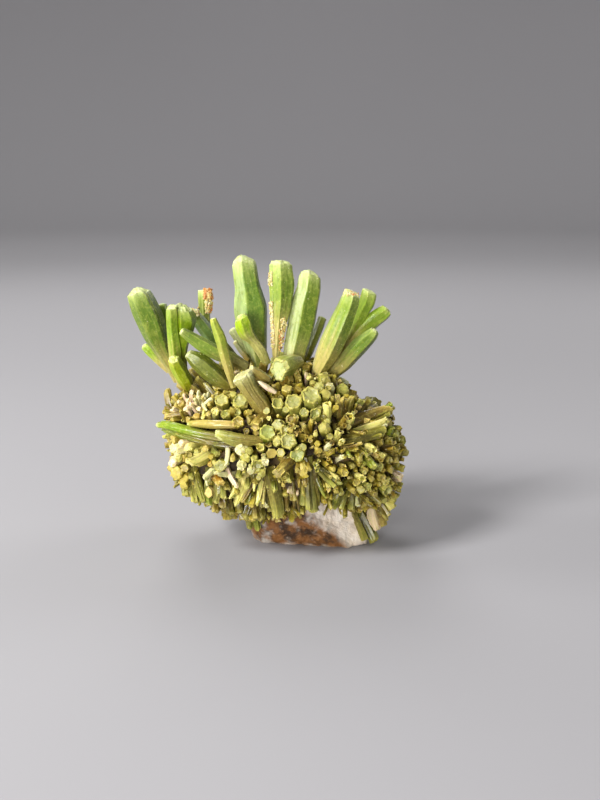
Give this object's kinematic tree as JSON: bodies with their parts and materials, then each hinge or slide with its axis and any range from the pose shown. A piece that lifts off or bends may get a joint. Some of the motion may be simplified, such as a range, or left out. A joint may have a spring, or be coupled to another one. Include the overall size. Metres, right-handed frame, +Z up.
{
  "type": "pyromorphite specimen",
  "caption": "Mineral specimen: a knobbly crust of short green six-sided prisms on a pale rock foot, crowned with sprays of longer prisms; it stands on the foot's broken base.",
  "frame": {"origin": "On the ground plane, below the middle of the bounding box seen from above.", "axes": "+Z up, away from the surface that the specimen stands on; the side seen in the picture faces -Y; +X is to the right there."},
  "size_m": [0.0327, 0.0225, 0.0331],
  "materials": {
    "pale_rock": "granular, broken, stained with iron in places",
    "crust_green": "waxy olive prisms with pale rims and tan sides",
    "prism_green": "waxy green, finely grooved along the prism",
    "prism_olive": "waxy olive green",
    "prism_lime": "waxy bright yellow green",
    "prism_tan": "dull tan, grooved, broken across the end"
  },
  "bodies": {
    "root": {"matrix": "pale_rock", "crust": "crust_green", "left_spray": "prism_green", "left_rear_spray": "prism_green", "slender_prism": "prism_olive", "olive_prism": "prism_olive", "upright_prism": "prism_olive", "tall_prism_left": "prism_green", "lime_prism": "prism_lime", "tall_prism_middle": "prism_green", "tall_prism_right": "prism_green", "small_rear_prism": "prism_olive", "right_spray": "prism_green", "broken_prism": "prism_tan", "left_side_spray": "prism_olive"}
  },
  "joints": []
}
